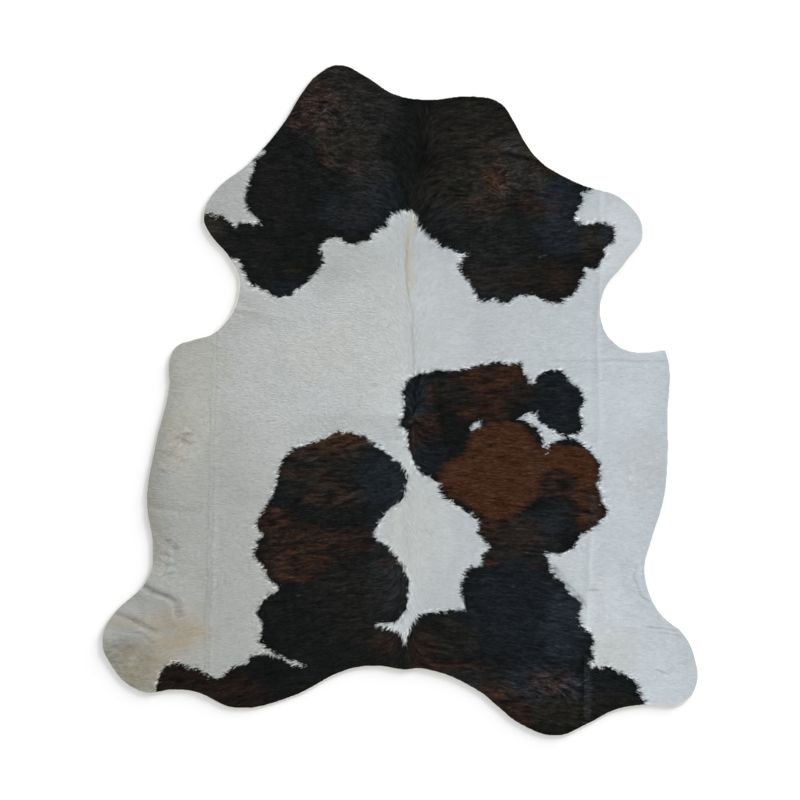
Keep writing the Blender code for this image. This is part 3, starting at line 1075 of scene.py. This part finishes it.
def lock_turns(x, y, curl, by_border, of_tuft, aside, random):
    """How far each lock turns: by chance, in waves, with its tuft and towards its middle."""
    by_chance, in_waves = 0.07 + 0.1 * by_border, 0.1 + 0.5 * by_border
    with_tuft, inwards = 0.06 + 0.35 * by_border, 0.5 + 0.4 * by_border + 0.4 * curl
    turn = by_chance * random.standard_normal(len(x))
    turn += in_waves * soft_noise(x, y, 10 * MM, 85) + with_tuft * of_tuft
    return turn - inwards * aside / LOCK_LENGTH


def lock_lengths(x, y, curl, of_tuft, random):
    """Each lock's length before any is cut, shorter in curls and on the lines of partings and painted shade.
    """
    by_chance, by_tuft, least, most, less_in_curls, less_on_shade_lines = 0.16, 0.2, 0.45, 1.5, 0.4, 0.6
    uneven = 1 + by_chance * random.standard_normal(len(x)) + by_tuft * of_tuft
    on_shade_lines = np.abs(1 - read(parting_and_painted_shade, x, y)).clip(0, 1)
    kept_share = (1 - less_in_curls * curl) * (1 - less_on_shade_lines * on_shade_lines)
    return LOCK_LENGTH * uneven.clip(least, most) * kept_share


def lock_colours(ends, is_dark, curl, by_border, of_tuft, random):
    """Each lock's colours at root, tip and root: the coat's at its ends, in a shade of its own."""
    # Pale locks near a patch's border vary more and are darker on the whole: partly their own tone,
    # partly painted shadow between the fluffed hairs.
    uneven_dark, uneven_pale = 0.4, 0.03 + 0.3 * by_border
    darker_at_border, darkest, brightest = 0.07, 0.3, 2.6
    unevenness = np.where(is_dark, uneven_dark, uneven_pale) * (1 + 1.1 * curl)
    by_chance = 0.8 * random.standard_normal(len(curl)) + 0.9 * of_tuft
    shade = np.exp(unevenness * by_chance - darker_at_border * by_border * ~is_dark)
    tones = [np.where(is_dark[:, None], read(dark_colour, *end), read(pale_colour, *end)) for end in ends]
    own = shaded(0.5 * sum(tones), shade.clip(darkest, brightest))
    root_shade, tip_shade = 0.9, 1.04
    return np.stack([own * root_shade, own * tip_shade, own * root_shade], axis=1)


def lay_locks(x, y, is_dark):
    """Each lock's three corners, the tip between two at the root, and their colours."""
    random = np.random.default_rng(83)
    narrowest, widest, wider_at_border, roll = 0.75, 1.25, 0.35, 0.05
    lowest, highest, least_rise = 0.65, 1.1, 0.35
    curl, by_border = read(curly, x, y), read(near_border, x, y)
    right, forward = read(hair_right, x, y), read(hair_forward, x, y)
    tuft, aside = tufts(x, y, right, forward)
    of_tuft = 2 * (7.3 * tuft % 1) - 1
    right, forward = turned(right, forward, lock_turns(x, y, curl, by_border, of_tuft, aside, random))
    length = lock_lengths(x, y, curl, of_tuft, random)
    length = over_the_border(x, y, right, forward, length, is_dark, tuft, aside)
    length *= way_inside(hair_cover, x, y, right * length, forward * length)
    tip_x, tip_y = x + right * length, y + forward * length
    width = LOCK_WIDTH * random.uniform(narrowest, widest, len(x)) * (1 + wider_at_border * by_border)
    tilt = np.tan(roll * random.standard_normal(len(x))) * width / 2
    rise = COAT_DEPTH * random.uniform(lowest, highest, len(x))
    rise = rise * (least_rise + (1 - least_rise) * (length / LOCK_LENGTH).clip(0, 1))
    tip = np.column_stack([tip_x, tip_y, read(lift_of_skin, tip_x, tip_y) + SKIN + rise])
    root = np.column_stack([x, y, read(lift_of_skin, x, y) + SKIN + UNDERCOAT_ABOVE_SKIN])
    side = np.column_stack([-forward * width / 2, right * width / 2, tilt])
    points = np.stack([root - side, tip, root + side], axis=1)
    ends = ((x, y), (tip_x, tip_y))
    return points, lock_colours(ends, is_dark, curl, by_border, of_tuft, random)


def hair_piece(name, points, colours, material, parts):
    """One piece of the coat. parts says which locks go where across the printed pattern."""
    corners = points.reshape(-1, 3)
    places = np.zeros((len(corners), 2))
    for locks, left, right in parts:
        here = np.repeat(locks, 3)
        spots = corners[here, :2]
        places[here] = spread_places(spots, spots.min(axis=0), spots.max(axis=0), left, right)
    faces = np.arange(len(corners)).reshape(-1, 3)
    piece = mesh_piece(name, corners, faces, material, colours.reshape(-1, 3), places)
    return piece


def coat_pieces():
    """The coat in four pieces: pale hair front and back, dark hair left and right."""
    x, y = rooted_locks()
    is_dark = dark_locks(x, y)
    points, colours = lay_locks(x, y, is_dark)
    pale_material = hair_material("pale_hair", roughness=0.6, shine=0.1)
    dark_material = hair_material("dark_hair", roughness=0.5, shine=0.05)
    waist, spine, between_patches = 0.0, 3 * CM, 20 * CM
    pieces = []
    for name, chosen, material in (
        ("pale_hair_front", ~is_dark & (y > waist), pale_material),
        ("pale_hair_back", ~is_dark & (y <= waist), pale_material),
        ("dark_hair_left", is_dark & (x < spine), dark_material),
        ("dark_hair_right", is_dark & (x >= spine), dark_material),
    ):
        on_neck = y[chosen] > between_patches
        parts = ((on_neck, 0, 0.44), (~on_neck, 0.45, 1))
        if material == pale_material:
            parts = ((np.ones(chosen.sum(), bool), 0, 1),)
        pieces.append(hair_piece(name, points[chosen], colours[chosen], material, parts))
    return pieces


# ---- Floor, light and camera ----


def plain_floor():
    """A pale floor that the rug lies on."""
    half, level = 40.0, -UNDER_RUG
    corners = [(-half, -half, level), (half, -half, level), (half, half, level), (-half, half, level)]
    mesh = bpy.data.meshes.new("floor")
    mesh.from_pydata(corners, [], [(0, 1, 2, 3)])
    floor = placed("floor", mesh)
    material, surface = plain_material("pale_floor", roughness=0.9, shine=0.1)
    surface.inputs["Base Color"].default_value = (FLOOR_SHADE, FLOOR_SHADE, FLOOR_SHADE, 1)
    mesh.materials.append(material)
    return floor


def studio_light():
    """Low soft light from the photo's upper right, and even light from all round."""
    scene = bpy.context.scene
    scene.view_settings.view_transform = "Standard"
    world = bpy.data.worlds.new("studio")
    world.use_nodes = True
    background = world.node_tree.nodes["Background"]
    background.inputs["Color"].default_value = (1, 1, 1, 1)
    background.inputs["Strength"].default_value = SKY_STRENGTH
    scene.world = world
    lamp = bpy.data.lights.new("window", "SUN")
    lamp.energy, lamp.angle = SUN_STRENGTH, np.radians(SUN_SPREAD)
    holder = placed("window", lamp)
    towards_lamp = Vector((1, 1, 2 ** 0.5 * np.tan(np.radians(SUN_HEIGHT))))
    holder.rotation_euler = towards_lamp.to_track_quat("Z", "Y").to_euler()


def camera_above():
    """Straight above the rug with the neck at the top, as in the photo."""
    data = bpy.data.cameras.new("camera")
    data.lens, data.sensor_width = LENS, SENSOR
    camera = placed("camera", data)
    camera.location = (*VIEW_CENTRE, cad_high.z + SEEN_WIDTH * LENS / SENSOR)
    bpy.context.scene.camera = camera


# ---- The rug ----

edge = rounded(cut_edge(hide_solid), 2)
camera_above()
studio_light()
floor = plain_floor()

from_edge = depth_plan(edge)
on_left_flank = left_flank_plan()
folded = folds_plan()
lift_of_skin = lift_plan()
curly = curls_plan()
hair_right, hair_forward = lie_of_hair()
grain = np.random.default_rng(17).standard_normal(plan_x.shape)
fine_streaks = combed(softened(grain, 1), 6 * MM)
broad_streaks = combed(softened(grain, 2), 16 * MM)
blotches = bumps(10 * MM, 18)
streaks = 0.25 * fine_streaks + 0.5 * broad_streaks + 0.4 * blotches
hair_cover = softened(filled(inset(edge, bare_rim(edge) - 1.0 * MM)))
well_inside = softened(filled(inset(edge, 5 * MM)), 2)
dark = patches_plan()
edge_of_patches = softened(dark, 28)
near_border = 4 * edge_of_patches * (1 - edge_of_patches)
parting_and_painted_shade = partings_and_shade_plan()
dark_colour = dark_colours()
pale_colour = pale_colours()
coat_colour = pale_colour + (dark_colour - pale_colour) * (dark > 0.5)[..., None]

points, faces, rim = skin_mesh(edge)
skin = leather_piece(edge, points, faces, rim)
coat = [undercoat_piece(points, faces, rim), *coat_pieces()]
for piece in (skin, *coat):
    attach(piece, "root")
